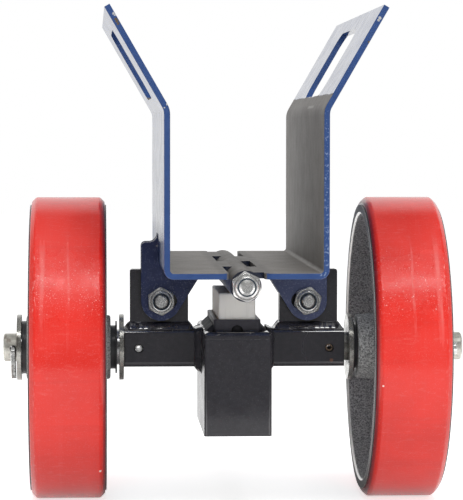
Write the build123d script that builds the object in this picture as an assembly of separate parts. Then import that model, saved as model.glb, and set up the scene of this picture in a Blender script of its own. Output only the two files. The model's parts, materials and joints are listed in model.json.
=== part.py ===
from build123d import *
import math
import os

# Plate dolly: two wheels on stub axles, a welded frame, and two bent jaw plates that share a hinge.
# Millimetres. Origin on the floor midway between the wheels, X along the axles, Z up.

# Wheels
wheel_d = 203.2
wheel_w = 50.8
tyre_t = 5.2
tyre_inset = 0.9
tyre_bevel = 3.2
tyre_edge_r = 2.4
rim_t = 6.2
rim_bevel = 1.0
rim_draft = 2.0
web_t = 12.0
hub_d = 43.0
hub_l = 56.6
dish_r = 7.0
hub_edge_r = 1.5

# Roller bearings and seals
sleeve_t = 2.475
roller_d = 4.4
roller_count = 12
roller_l = 34.0
cage_t = 2.0
cage_end = 4.0
run_clear = 0.05
seal_spigot = 5.0
seal_body_d = 29.5
seal_flange_d = 35.6
seal_flange_t = 1.0
seal_neck = 1.6

# Stub axles and their fastenings
axle_d = 19.05
axle_overhang = 9.2
axle_chamfer = 1.0
washer_d = 44.5
washer_t = 3.0
inner_standoff = 5.9
washer_slide = 2.8
outer_standoff = 3.3
roll_pin_d = 4.76
roll_pin_wall = 0.9
roll_pin_inset = 10.0
roll_pin_sunk = 1.6
roll_pin_shift = 1.2
roll_pin_hole_d = 6.0
cotter_d = 3.4
cotter_hole_d = 4.3
cotter_inset = 2.7
cotter_leg_l = 19.5
cotter_lean = 2.0
cotter_bend_r = 1.8
cotter_eye_r = 2.6
cotter_edge_r = 0.7

# Frame
tube_a = 25.4
tube_wall = 3.075
tube_corner_r = 3.2
tube_l = 52.2
tube_weld = 4.4
post_w = 44.45
post_d = 118.0
post_h = 68.5
post_rise = 1.5
post_wall = 4.76
post_corner_r = 2.0
cap_t = 4.8
cap_round = 0.7
collar_h = 7.7
collar_wall = 3.0
collar_corner_r = 2.0
collar_weld = 5.5
collar_weld_bulge = 0.8
notch_r = 3.9
notch_depth = 2.2
seat_t = 5.0
seat_inset = 3.0
peg_d = 11.0
peg_h = 6.0
lug_t = 12.7
lug_inside = 18.45
lug_end_weld = 4.225
lug_h = 40.4
lug_corner_r = 1.6
lug_relief_w = 21.0
lug_relief_h = 6.5
lug_weld = 4.8

# Jaws
jaw_l = 304.8
plate_t = 3.8
channel_w = 95.0
floor_z = 159.7
corner_r = 2.2
wall_h = 101.6
flare_angle = 30.0
flare_l = 74.4
flare_r = 9.0
hole_l = 114.0
hole_h = 51.5
hole_r = 12.0
hole_start = 11.4
plate_edge_r = 0.6
knuckle_count = 4
knuckle_gap = 0.5
knuckle_notch = 1.35
knuckle_proud = 1.15
hinge_inset = 12.5
strip_corner_r = 4.5
seam_w = 0.8

# Pivot ears
ear_t = 4.76
ear_r = 13.4
ear_leg_h = 13.5
ear_leg_r = 3.2
ear_toe = 31.0
ear_rise_r = 5.4
ear_tip = 0.6
side_clear = 0.3
pivot_out = 1.85
pivot_h = 19.3
slot_travel = 5.4
slot_clear = 0.35

# Pivot bolts and their lock nuts
bolt_d = 10.0
bolt_af = 17.0
bolt_head_h = 6.4
nut_hex_h = 6.6
nut_collar_h = 3.2
nut_collar_d = 14.6
nut_turn_left = 4.0
nut_turn_right = -13.0

# Hinge bolt, its lock nut and washers
hinge_bolt_d = 10.0
hinge_shoulder_d = 12.0
hinge_af = 17.0
hinge_head_h = 7.5
hinge_hex_h = 7.6
hinge_collar_h = 3.6
hinge_collar_d = 14.6
hinge_turn = 5.0
hinge_washer_d = 15.6
hinge_washer_t = 1.8

# Shapes that all the bolts and nuts share, the last four as parts of the flats, diameter or collar height
bolt_clear = 0.05
bolt_end = 1.6
crown_part = 0.56
crown_edge_part = 0.07
point_part = 0.15
collar_round_part = 0.5

# Plunger and springs
plunger_w = 24.4
plunger_d = 89.4
plunger_l = 47.0
plunger_edge_r = 1.2
plunger_top_r = 1.0
plunger_clear = 0.5
slide_clear = 0.3
spring_pitch_y = 44.0
spring_d = 18.0
spring_wire = 2.4
spring_turns = 6
pocket_clear = 0.5
pocket_depth = 8.0

# Places along the axle, worked out from the sizes above
wheel_r = wheel_d / 2
axle_z = wheel_r
rim_r = wheel_r - tyre_t
tube_end = post_w / 2 + tube_l
washer_end = tube_end + washer_t
hub_start = washer_end + inner_standoff
hub_end = hub_start + hub_l
sleeve_end = hub_end + outer_standoff
wheel_x = (hub_start + hub_end) / 2
axle_start = post_w / 2 + side_clear
axle_end = sleeve_end + washer_t + axle_overhang
roll_pin_x = tube_end - roll_pin_inset
cotter_x = sleeve_end + washer_t + cotter_inset
cotter_z = axle_z - (cotter_hole_d - cotter_d) / 2 + run_clear
sleeve_r = axle_d / 2 + sleeve_t
roller_pitch_r = sleeve_r + run_clear + roller_d / 2
bore_r = roller_pitch_r + roller_d / 2 + run_clear

# Heights and places of the frame and jaws, worked out likewise
tube_top = axle_z + tube_a / 2
cap_top = tube_top + post_rise
post_bottom = cap_top - post_h
cap_bottom = cap_top - cap_t
collar_w = plunger_w + 2 * (slide_clear + collar_wall)
collar_d = plunger_d + 2 * (slide_clear + collar_wall)
seat_top = post_bottom + seat_inset + seat_t
half_w = channel_w / 2
half_l = jaw_l / 2
pivot_x = half_w + pivot_out
pivot_z = tube_top + pivot_h
lug_in = pivot_x - lug_inside
lug_out = tube_end - lug_end_weld
lug_top = tube_top + lug_h
knuckle_bore_r = hinge_shoulder_d / 2 + run_clear
knuckle_r = knuckle_bore_r + plate_t
notch_x = knuckle_r + knuckle_notch
hinge_z = floor_z + knuckle_proud - knuckle_r
hinge_end = half_l - hinge_inset
hinge_face = hinge_end + side_clear + hinge_washer_t
plunger_top = hinge_z - knuckle_r - plunger_clear
plunger_bottom = plunger_top - plunger_l
floor_under = floor_z - plate_t
flare_z = floor_z + wall_h
flare_sin = math.sin(math.radians(flare_angle))
flare_cos = math.cos(math.radians(flare_angle))
ear_in = lug_t / 2 + side_clear
ear_out = ear_in + ear_t
head_face = ear_out + side_clear


def bar_x(radius, x0, x1, y=0.0, z=0.0):
    """Round bar along X."""
    return Pos((x0 + x1) / 2, y, z) * Rot(0, 90, 0) * Cylinder(radius, x1 - x0)


def bar_y(radius, y0, y1, x=0.0, z=0.0):
    """Round bar along Y."""
    return Pos(x, (y0 + y1) / 2, z) * Rot(90, 0, 0) * Cylinder(radius, y1 - y0)


def bar_z(radius, z0, z1, x=0.0, y=0.0):
    """Round bar along Z."""
    return Pos(x, y, (z0 + z1) / 2) * Cylinder(radius, z1 - z0)


def block(x0, x1, y0, y1, z0, z1):
    """Box between two corners."""
    return Pos((x0 + x1) / 2, (y0 + y1) / 2, (z0 + z1) / 2) * Box(x1 - x0, y1 - y0, z1 - z0)


def prism_y(sketch, y0, y1):
    """A sketch drawn as (X, Z), extruded from y0 to y1."""
    return extrude(Plane.XZ.offset(-y1) * sketch, amount=y1 - y0)


def prism_z(sketch, z0, z1):
    """A sketch drawn as (X, Y), extruded from z0 to z1."""
    return extrude(Pos(0, 0, z0) * sketch, amount=z1 - z0)


def outline(points):
    """Closed polygon through 2-D points."""
    return make_face(Polyline(*points, close=True))


def rounded(sketch, point, radius):
    """The sketch with its corner nearest the point rounded."""
    return fillet(sketch.vertices().sort_by_distance((point[0], point[1], 0))[0], radius)


def turned(points, rounds=()):
    """A profile drawn as (distance along X, radius), turned round the wheel axis at the wheel's middle."""
    profile = outline(points)
    for point, radius in rounds:
        profile = rounded(profile, point, radius)
    return Pos(wheel_x, 0, axle_z) * revolve(profile, Axis.X)


def both_sides(points):
    """Points of a half profile, closed by their mirror image across the wheel's middle."""
    return points + [(-x, r) for x, r in reversed(points)]


def tube_section(width, depth, wall, radius):
    """Rectangular tube section with rounded outside corners."""
    return RectangleRounded(width, depth, radius) - Rectangle(width - 2 * wall, depth - 2 * wall)


def write(name, shape):
    """Save one node."""
    export_step(shape, os.path.join("parts", name + ".step"))


def write_pair(name, shape):
    """Save the right-hand piece and its mirror image."""
    write(name + "_right", shape)
    write(name + "_left", mirror(shape, about=Plane.YZ))


# Wheels

def tyre():
    """Flat-tread tyre bonded on the core, a little narrower than the rim, with soft bevelled shoulders."""
    half = wheel_w / 2 - tyre_inset
    side = [(half, rim_r), (half, wheel_r - tyre_bevel), (half - tyre_bevel, wheel_r)]
    rounds = [((sign * x, r), tyre_edge_r) for sign in (1, -1) for x, r in side[1:]]
    return turned(both_sides(side), rounds)


def wheel_core():
    """Cast core: drafted rim and hub on a solid web, with fillets in the dishes and bevelled rim edges."""
    rim_half = wheel_w / 2
    web_half = web_t / 2
    hub_half = hub_l / 2
    hub_r = hub_d / 2
    rim_in = rim_r - rim_t
    side = [(hub_half, bore_r), (hub_half, hub_r), (web_half, hub_r + rim_draft)]
    side += [(web_half, rim_in - rim_draft), (rim_half - rim_bevel, rim_in)]
    side += [(rim_half, rim_in + rim_bevel), (rim_half, rim_r)]
    rounds = []
    for sign in (1, -1):
        rounds.append(((sign * side[1][0], side[1][1]), hub_edge_r))
        rounds.append(((sign * side[2][0], side[2][1]), dish_r))
        rounds.append(((sign * side[3][0], side[3][1]), dish_r))
    return turned(both_sides(side), rounds)


def dust_seals(reach):
    """Black seals pressed into both ends of the hub bore: a stepped inner one that stands out by its reach,
    and a flat outer one."""
    hole_r = sleeve_r + run_clear
    plug_r = bore_r - run_clear
    half = hub_l / 2
    body_r = seal_body_d / 2
    flange_r = seal_flange_d / 2
    neck = half + reach
    flange = neck - seal_flange_t
    inner = [(-half + seal_spigot, hole_r), (-half + seal_spigot, plug_r), (-half, plug_r)]
    inner += [(-half, body_r), (-flange, body_r), (-flange, flange_r), (-neck, flange_r), (-neck, hole_r)]
    lip = half + outer_standoff - side_clear
    outer = [(half - seal_spigot, hole_r), (half - seal_spigot, plug_r), (half, plug_r)]
    outer += [(half, flange_r), (lip, flange_r), (lip, hole_r)]
    return Compound([turned(inner).solid(), turned(outer).solid()])


def roller_places():
    """One place for each roller round the axle."""
    return [Rot(360 / roller_count * i, 0, 0) * Pos(0, 0, roller_pitch_r) for i in range(roller_count)]


def bearing_rollers():
    """Loose rollers between the sleeve and the hub bore."""
    centre = Pos(wheel_x, 0, axle_z)
    roller = Rot(0, 90, 0) * Cylinder(roller_d / 2, roller_l)
    return Compound([(centre * place * roller).solid() for place in roller_places()])


def bearing_cage():
    """Roller cage: a thin ring with one window for each roller."""
    half = roller_l / 2 + cage_end
    low = roller_pitch_r - cage_t / 2
    high = roller_pitch_r + cage_t / 2
    ring = turned([(-half, low), (half, low), (half, high), (-half, high)])
    centre = Pos(wheel_x, 0, axle_z)
    window = Box(roller_l + 2 * side_clear, roller_d + 2 * side_clear, 2 * cage_t)
    return ring - [centre * place * window for place in roller_places()]


# Stub axles

def bearing_sleeve(start):
    """Steel sleeve that the rollers run on, between the washers."""
    bar = bar_x(sleeve_r, start, sleeve_end, z=axle_z)
    return bar - bar_x(axle_d / 2 + run_clear, start, sleeve_end, z=axle_z)


def axle_washer(start):
    """Large plain washer on the axle."""
    ring = bar_x(washer_d / 2, start, start + washer_t, z=axle_z)
    return ring - bar_x(axle_d / 2 + run_clear, start, start + washer_t, z=axle_z)


def axle():
    """Stub axle with a chamfered end and cross holes for its roll pin and cotter pin."""
    bar = bar_x(axle_d / 2, axle_start, axle_end, z=axle_z)
    bar = chamfer(bar.edges().filter_by(GeomType.CIRCLE).sort_by(Axis.X)[-1], axle_chamfer)
    bar -= bar_y(roll_pin_d / 2, -axle_d, axle_d, x=roll_pin_x, z=axle_z)
    return bar - bar_y(cotter_hole_d / 2, -axle_d, axle_d, x=cotter_x, z=axle_z)


def roll_pin(shift):
    """Slotted spring pin across tube and axle, below the tube's faces and driven in by its shift."""
    reach = tube_a / 2 - roll_pin_sunk
    front = shift - reach
    back = shift + reach
    pin = bar_y(roll_pin_d / 2, front, back, x=roll_pin_x, z=axle_z)
    pin -= bar_y(roll_pin_d / 2 - roll_pin_wall, front, back, x=roll_pin_x, z=axle_z)
    slit = roll_pin_wall / 2
    return pin - block(roll_pin_x, roll_pin_x + roll_pin_d, front, back, axle_z - slit, axle_z + slit)


def cotter_pin():
    """Split pin of half-round wire, lying in its hole: an eye behind and a leg bent down in front."""
    wire_t = cotter_d / 2
    reach = axle_d / 2 + side_clear
    front = -reach - cotter_bend_r
    shank = bar_y(cotter_d / 2, -reach, reach + wire_t)
    start = (0, -axle_d / 2, 0)
    path = FilletPolyline(start, (0, front, 0), (0, front, -cotter_leg_l), radius=cotter_bend_r)
    wire = RectangleRounded(cotter_d, wire_t, cotter_edge_r)
    leg = sweep(Plane(start, x_dir=(1, 0, 0), z_dir=(0, -1, 0)) * wire, path)
    eye_y = reach + wire_t + cotter_eye_r
    ring = Plane.YX * Pos(eye_y - cotter_eye_r - wire_t / 2, 0) * RectangleRounded(wire_t, cotter_d, cotter_edge_r)
    eye = revolve(ring, Axis((0, eye_y, 0), (1, 0, 0)))
    return Pos(cotter_x, 0, cotter_z) * (shank + Rot(0, cotter_lean, 0) * leg + eye)


# Welded frame

def axle_tube():
    """Square tube from the post's side, with the weld round its root and the roll pin's hole."""
    side = Plane.YZ.offset(post_w / 2)
    tube = extrude(side * RectangleRounded(tube_a, tube_a, tube_corner_r), amount=tube_l)
    root_h = tube_a + tube_weld + post_rise
    root = Pos(0, (post_rise - tube_weld) / 2) * RectangleRounded(tube_a + 2 * tube_weld, root_h, tube_corner_r)
    neck = Plane.YZ.offset(post_w / 2 + tube_weld) * RectangleRounded(tube_a, tube_a, tube_corner_r)
    tube += loft([(side * root).face(), neck.face()], ruled=True)
    bore = tube_a - 2 * tube_wall
    tube -= extrude(side * Rectangle(bore, bore), amount=tube_l)
    return Pos(0, 0, axle_z) * tube - bar_y(roll_pin_hole_d / 2, -tube_a, tube_a, x=roll_pin_x, z=axle_z)


def post_tube():
    """Upright rectangular tube that houses the springs."""
    return prism_z(tube_section(post_w, post_d, post_wall, post_corner_r), post_bottom, cap_bottom)


def plunger_window():
    """Clear section that the plunger slides in."""
    return Rectangle(plunger_w + 2 * slide_clear, plunger_d + 2 * slide_clear)


def post_cap():
    """Cap plate with rounded upper edges and the plunger's window."""
    plate = prism_z(RectangleRounded(post_w, post_d, post_corner_r), cap_bottom, cap_top)
    plate = fillet(plate.faces().sort_by(Axis.Z)[-1].edges(), cap_t * cap_round)
    return plate - prism_z(plunger_window(), cap_bottom, cap_top)


def collar_weld_bead():
    """Section of the full weld along the collar's right side, drawn down to the middle of the cap."""
    inner = collar_w / 2 - collar_wall / 2
    outer = collar_w / 2 + collar_weld
    top = cap_top + collar_weld
    low = cap_top - cap_t / 2
    mid = collar_weld / 2 + collar_weld_bulge
    edge = Polyline((outer, cap_top), (outer, low), (inner, low), (inner, top), (collar_w / 2, top))
    arc = ThreePointArc((collar_w / 2, top), (collar_w / 2 + mid, cap_top + mid), (outer, cap_top))
    return make_face([*edge.edges(), arc])


def post_collar():
    """Guide collar welded to the cap along both sides, with a half-round recess in front."""
    collar = prism_z(RectangleRounded(collar_w, collar_d, collar_corner_r), cap_top, cap_top + collar_h)
    weld_end = collar_d / 2 - collar_corner_r
    weld = prism_y(collar_weld_bead(), -weld_end, weld_end)
    collar += [weld, mirror(weld, about=Plane.YZ)]
    collar -= post_cap()
    collar -= prism_z(plunger_window(), cap_bottom, cap_top + collar_h)
    return collar - bar_y(notch_r, -collar_d, notch_depth - collar_d / 2, z=cap_top)


def spring_places():
    """The two springs' places along the post."""
    return [-spring_pitch_y / 2, spring_pitch_y / 2]


def spring_seat():
    """Seat plate inside the post's foot, with a peg inside each spring."""
    plate = Rectangle(post_w - 2 * post_wall, post_d - 2 * post_wall)
    seat = prism_z(plate, seat_top - seat_t, seat_top)
    for y in spring_places():
        seat += bar_z(peg_d / 2, seat_top, seat_top + peg_h, y=y)
    return seat


def pivot_lug():
    """Flat lug on the axle tube: relieved on top where the jaw's floor comes down, with a weld at its foot."""
    points = [(lug_in, tube_top), (lug_out, tube_top), (lug_out, lug_top)]
    points += [(lug_in + lug_relief_w, lug_top), (lug_in, lug_top - lug_relief_h)]
    face = rounded(outline(points), points[2], lug_corner_r)
    lug = prism_y(face, -lug_t / 2, lug_t / 2)
    middle = (lug_in + lug_out) / 2
    width = lug_out - lug_in
    foot = Pos(middle, 0, tube_top) * Rectangle(width + 2 * lug_end_weld, lug_t + 2 * lug_weld)
    neck = Pos(middle, 0, tube_top + lug_weld) * Rectangle(width, lug_t)
    lug += loft([foot.face(), neck.face()], ruled=True)
    return lug - bar_y(bolt_d / 2 + bolt_clear, -tube_a, tube_a, x=pivot_x, z=pivot_z)


# Bolts and nuts along Y

def hexagon(across_flats, turn=0.0):
    """Hexagon with its points up and down, or turned from there."""
    return RegularPolygon(across_flats / 2, 6, major_radius=False, rotation=30 + turn)


def crown(across_flats, y0, y1, end):
    """Turned blank that takes the corners off a hexagon at its first (0) or last (-1) end along Y."""
    blank = bar_y(across_flats * crown_part, y0, y1)
    rim = blank.edges().filter_by(GeomType.CIRCLE).sort_by(Axis.Y)[end]
    return chamfer(rim, across_flats * crown_edge_part)


def bolt_y(diameter, across_flats, head_h, tip, face, x, z):
    """Hex bolt from its tip to the face under its head, with the head behind."""
    shank = bar_y(diameter / 2, tip, face, x=x, z=z)
    point = shank.edges().filter_by(GeomType.CIRCLE).sort_by(Axis.Y)[0]
    shank = chamfer(point, diameter * point_part)
    head = prism_y(hexagon(across_flats), face, face + head_h) & crown(across_flats, face, face + head_h, -1)
    return shank + Pos(x, 0, z) * head


def lock_nut_y(diameter, across_flats, turn, hex_h, collar_h, collar_d, face, x, z):
    """Lock nut whose seat is at the given Y, standing towards -Y, with its round insert collar in front."""
    mid = face - hex_h
    front = mid - collar_h
    nut = prism_y(hexagon(across_flats, turn), mid, face) & crown(across_flats, mid, face, 0)
    insert = bar_y(collar_d / 2, front, mid)
    rim = insert.edges().filter_by(GeomType.CIRCLE).sort_by(Axis.Y)[0]
    nut += fillet(rim, collar_h * collar_round_part)
    return Pos(x, 0, z) * (nut - bar_y(diameter / 2 + bolt_clear, front, face))


def pivot_bolt():
    """Bolt through the lug, with its head behind the rear ear."""
    tip = -head_face - nut_hex_h - nut_collar_h - bolt_end
    return bolt_y(bolt_d, bolt_af, bolt_head_h, tip, head_face, pivot_x, pivot_z)


def pivot_nut(turn):
    """Lock nut in front of the front ear."""
    return lock_nut_y(bolt_d, bolt_af, turn, nut_hex_h, nut_collar_h, nut_collar_d, -head_face, pivot_x, pivot_z)


def hinge_bolt():
    """Long bolt whose shoulder runs through all the knuckles, with its thread in front of them."""
    tip = -hinge_face - hinge_hex_h - hinge_collar_h - bolt_end
    bolt = bolt_y(hinge_bolt_d, hinge_af, hinge_head_h, tip, hinge_face, 0, hinge_z)
    return bolt + bar_y(hinge_shoulder_d / 2, -hinge_end - side_clear, hinge_face, z=hinge_z)


def hinge_nut():
    """Lock nut on the long bolt, in the recess at the jaws' front end."""
    sizes = (hinge_hex_h, hinge_collar_h, hinge_collar_d)
    return lock_nut_y(hinge_bolt_d, hinge_af, hinge_turn, *sizes, -hinge_face, 0, hinge_z)


def hinge_washers():
    """Small washers: one on the thread under the long bolt's nut, one on its shoulder under the head."""
    rings = []
    for start, diameter in ((-hinge_face, hinge_bolt_d), (hinge_end + side_clear, hinge_shoulder_d)):
        ring = bar_y(hinge_washer_d / 2, start, start + hinge_washer_t, z=hinge_z)
        ring -= bar_y(diameter / 2 + bolt_clear, start, start + hinge_washer_t, z=hinge_z)
        rings.append(ring.solid())
    return Compound(rings)


# Jaws

def jaw_section():
    """Bent plate's section: floor, wall and outward flare, all of one thickness."""
    miter = plate_t * math.tan(math.radians(flare_angle / 2))
    tip = (half_w + flare_l * flare_sin, flare_z + flare_l * flare_cos)
    inner_bend = (half_w, flare_z)
    inner_corner = (half_w, floor_z)
    outer_corner = (half_w + plate_t, floor_under)
    outer_bend = (half_w + plate_t, flare_z - miter)
    outer_tip = (tip[0] + plate_t * flare_cos, tip[1] - plate_t * flare_sin)
    points = [(notch_x, floor_z), inner_corner, inner_bend, tip]
    points += [outer_tip, outer_bend, outer_corner, (notch_x, floor_under)]
    section = rounded(outline(points), inner_corner, corner_r)
    section = rounded(section, outer_corner, corner_r + plate_t)
    section = rounded(section, inner_bend, flare_r + plate_t)
    return rounded(section, outer_bend, flare_r)


def hand_hole():
    """Rounded hand-hole through the flare, square to it."""
    along = hole_start + hole_h / 2
    place = (half_w + along * flare_sin, 0, flare_z + along * flare_cos)
    plane = Plane(place, x_dir=(0, 1, 0), z_dir=(flare_cos, 0, -flare_sin))
    return extrude(plane * RectangleRounded(hole_l, hole_h, hole_r), amount=2 * plate_t, both=True)


def strip_corner(end):
    """Waste outside the rounded inner corner of the floor at the front (-1) or back (1) end."""
    x = notch_x + strip_corner_r
    y = end * (half_l - strip_corner_r)
    square = block(notch_x, x, min(y, end * half_l), max(y, end * half_l), floor_under, floor_z)
    return square - bar_z(strip_corner_r, floor_under, floor_z, x=x, y=y)


def knuckle(start, end):
    """One rolled knuckle: the floor plate's edge curled round the bolt, a little proud of the floor, with the
    seam under the plate."""
    tab = block(0, notch_x, start, end, floor_under, floor_z)
    curl = tab + bar_y(knuckle_r, start, end, z=hinge_z)
    curl -= bar_y(knuckle_bore_r, start, end, z=hinge_z)
    return curl - block(knuckle_bore_r / 2, knuckle_r, start, end, floor_under - seam_w, floor_under)


def knuckle_spans(first):
    """Y spans of every other knuckle, counted from the front of the hinge."""
    pitch = 2 * hinge_end / knuckle_count
    spans = []
    for i in range(first, knuckle_count, 2):
        start = -hinge_end + i * pitch
        front = 0 if i == 0 else knuckle_gap / 2
        back = 0 if i == knuckle_count - 1 else knuckle_gap / 2
        spans.append((start + front, start + pitch - back))
    return spans


def jaw_plate(first_knuckle):
    """Right-hand jaw plate with the knuckles that start at the given place."""
    plate = prism_y(jaw_section(), -half_l, half_l)
    ends = plate.faces().filter_by(Axis.Y).edges()
    plate = fillet(ends, plate_edge_r) - hand_hole()
    plate -= [strip_corner(-1), strip_corner(1)]
    for start, end in knuckle_spans(first_knuckle):
        plate += knuckle(start, end)
    return plate


def ear_outline():
    """Pivot ear's outline, drawn to the middle of the jaw plate: a round eye, a leg beside the wall and a
    long toe under the floor."""
    outer = pivot_x + ear_r
    leg_top = floor_z + ear_leg_h
    wall = half_w + plate_t / 2
    under = floor_z - plate_t / 2
    toe = (pivot_x - ear_toe, under)
    span = math.hypot(toe[0] - pivot_x, toe[1] - pivot_z)
    bearing = math.atan2(toe[1] - pivot_z, toe[0] - pivot_x)
    angle = bearing + math.acos(ear_r / span)
    tangent = (pivot_x + ear_r * math.cos(angle), pivot_z + ear_r * math.sin(angle))
    corner = (outer, leg_top)
    tip = (half_w + plate_t + ear_tip, leg_top + ear_rise_r)
    rise_start = (tip[0] + ear_rise_r, leg_top)
    slack = ear_rise_r * (1 - math.sqrt(0.5))
    rise = ThreePointArc(rise_start, (tip[0] + slack, leg_top + slack), tip)
    leg = Polyline((outer, pivot_z), corner, rise_start)
    back = Polyline(tip, (wall, tip[1]), (wall, under), toe, tangent)
    eye = ThreePointArc(tangent, (pivot_x, pivot_z - ear_r), (outer, pivot_z))
    return rounded(make_face([*leg.edges(), rise, *back.edges(), eye]), corner, ear_leg_r)


def pivot_slot():
    """Slot that lets the pivot bolt move inboard as the jaw tips."""
    radius = bolt_d / 2 + slot_clear
    ends = [Pos(pivot_x - shift, pivot_z) * Circle(radius) for shift in (0, slot_travel)]
    middle = Pos(pivot_x - slot_travel / 2, pivot_z) * Rectangle(slot_travel, 2 * radius)
    return middle + ends


def jaw_ear(start):
    """Ear plate with its back fitted to the bent plate."""
    blank = prism_y(ear_outline() - pivot_slot(), start, start + ear_t)
    return blank - prism_y(jaw_section(), start, start + ear_t)


# Plunger and springs

def plunger_block():
    """Plastic plunger with rounded upper and upright edges and a pocket for each spring."""
    body = prism_z(RectangleRounded(plunger_w, plunger_d, plunger_edge_r), plunger_bottom, plunger_top)
    body = fillet(body.faces().sort_by(Axis.Z)[-1].edges(), plunger_top_r)
    pocket = spring_d / 2 + pocket_clear
    for y in spring_places():
        body -= bar_z(pocket, plunger_bottom, plunger_bottom + pocket_depth, y=y)
    return body


def helix_path(radius, bottom, top, turns, y):
    """Spring wire's line: two tangent arcs for each quarter turn of the helix."""
    def place(turn):
        angle = 2 * math.pi * turn
        rise = bottom + (top - bottom) * turn / turns
        return Vector(radius * math.cos(angle), y + radius * math.sin(angle), rise)

    def heading(turn):
        angle = 2 * math.pi * turn
        rise = (top - bottom) / turns / (2 * math.pi)
        return Vector(-radius * math.sin(angle), radius * math.cos(angle), rise).normalized()

    arcs = []
    for quarter in range(4 * turns):
        p0, p1 = place(quarter / 4), place(quarter / 4 + 0.25)
        t0, t1 = heading(quarter / 4), heading(quarter / 4 + 0.25)
        span, both = p1 - p0, t0 + t1
        spread = 2 * (1 - t0.dot(t1))
        reach = (math.sqrt(span.dot(both) ** 2 + spread * span.dot(span)) - span.dot(both)) / spread
        middle = (p0 + p1 + (t0 - t1) * reach) * 0.5
        arcs.append(Edge.make_tangent_arc(p0, t0, middle))
        arcs.append(Edge.make_tangent_arc(middle, arcs[-1] % 1, p1))
    return Wire(arcs), heading(0)


def return_spring(y):
    """Compression spring from the seat to the plunger's pocket, ground flat at both ends."""
    wire_r = spring_wire / 2
    low, high = seat_top, plunger_bottom + pocket_depth
    line, heading = helix_path(spring_d / 2 - wire_r, low + wire_r / 2, high - wire_r / 2, spring_turns, y)
    coil = sweep(Plane(line @ 0, z_dir=heading) * Circle(wire_r), line)
    return coil & block(-spring_d, spring_d, y - spring_d, y + spring_d, low, high)


os.makedirs("parts", exist_ok=True)
write_pair("tyre", tyre())
write_pair("wheel_core", wheel_core())
write("dust_seals_right", dust_seals(inner_standoff - washer_slide - side_clear))
write("dust_seals_left", mirror(dust_seals(inner_standoff - seal_neck), about=Plane.YZ))
write_pair("bearing_rollers", bearing_rollers())
write_pair("bearing_cage", bearing_cage())
write("bearing_sleeve_right", bearing_sleeve(washer_end + washer_slide))
write("bearing_sleeve_left", mirror(bearing_sleeve(washer_end), about=Plane.YZ))
write("inner_washer_right", axle_washer(tube_end + washer_slide))
write("inner_washer_left", mirror(axle_washer(tube_end), about=Plane.YZ))
write_pair("outer_washer", axle_washer(sleeve_end))
write_pair("axle", axle())
write("roll_pin_right", roll_pin(roll_pin_shift))
write("roll_pin_left", mirror(roll_pin(-roll_pin_shift), about=Plane.YZ))
write("cotter_pin_left", mirror(cotter_pin(), about=Plane.YZ))
write("cotter_pin_right", mirror(cotter_pin(), about=Plane.XZ))
write_pair("axle_tube", axle_tube())
write_pair("pivot_lug", pivot_lug())
write_pair("pivot_bolt", pivot_bolt())
write("pivot_nut_right", pivot_nut(nut_turn_right))
write("pivot_nut_left", mirror(pivot_nut(-nut_turn_left), about=Plane.YZ))
write("post_tube", post_tube())
write("post_cap", post_cap())
write("post_collar", post_collar())
write("spring_seat", spring_seat())
write("plunger_block", plunger_block())
write("return_spring_front", return_spring(spring_places()[0]))
write("return_spring_rear", return_spring(spring_places()[1]))
write("hinge_bolt", hinge_bolt())
write("hinge_nut", hinge_nut())
write("hinge_washers", hinge_washers())
write("jaw_plate_right", jaw_plate(0))
write("jaw_plate_left", mirror(jaw_plate(1), about=Plane.YZ))
for place, start in (("front", -ear_out), ("rear", ear_in)):
    ear = jaw_ear(start)
    write("jaw_ear_right_" + place, ear)
    write("jaw_ear_left_" + place, mirror(ear, about=Plane.YZ))
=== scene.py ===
import json
import math
import random
import bmesh
import bpy
from mathutils import Matrix, Vector


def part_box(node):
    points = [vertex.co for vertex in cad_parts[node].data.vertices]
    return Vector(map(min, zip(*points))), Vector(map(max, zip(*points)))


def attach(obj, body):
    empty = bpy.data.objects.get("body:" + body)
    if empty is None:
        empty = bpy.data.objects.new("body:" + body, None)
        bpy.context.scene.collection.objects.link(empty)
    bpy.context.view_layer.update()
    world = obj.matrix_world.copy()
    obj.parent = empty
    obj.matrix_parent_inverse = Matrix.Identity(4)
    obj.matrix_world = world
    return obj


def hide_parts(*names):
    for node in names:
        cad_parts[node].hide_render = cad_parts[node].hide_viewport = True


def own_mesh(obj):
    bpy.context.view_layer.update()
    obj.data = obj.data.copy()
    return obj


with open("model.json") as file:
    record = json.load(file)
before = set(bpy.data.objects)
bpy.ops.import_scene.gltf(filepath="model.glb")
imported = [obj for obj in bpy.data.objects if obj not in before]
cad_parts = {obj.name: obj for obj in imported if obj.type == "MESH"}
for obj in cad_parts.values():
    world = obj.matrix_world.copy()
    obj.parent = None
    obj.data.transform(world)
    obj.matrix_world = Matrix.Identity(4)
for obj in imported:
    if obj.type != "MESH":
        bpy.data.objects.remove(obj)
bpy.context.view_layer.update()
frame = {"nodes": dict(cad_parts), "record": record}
nodes = frame["nodes"]
scene = bpy.context.scene
scene.view_settings.view_transform = "Standard"

# Plate dolly in a white studio. X along the axles, Y away from the photograph's camera, Z up.
# Nodes, the studio and materials are in metres; the sizes of the pieces below are in millimetres.
MM = 0.001

# Photograph's camera: place in metres, angles in degrees
photo_h = 500
focal_px = 2509.9
camera_place = (-0.0955, -1.6985, 0.2456)
camera_yaw = 3.177
camera_pitch = 2.637
camera_roll = 0.04
sensor_mm = 36.0

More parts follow.
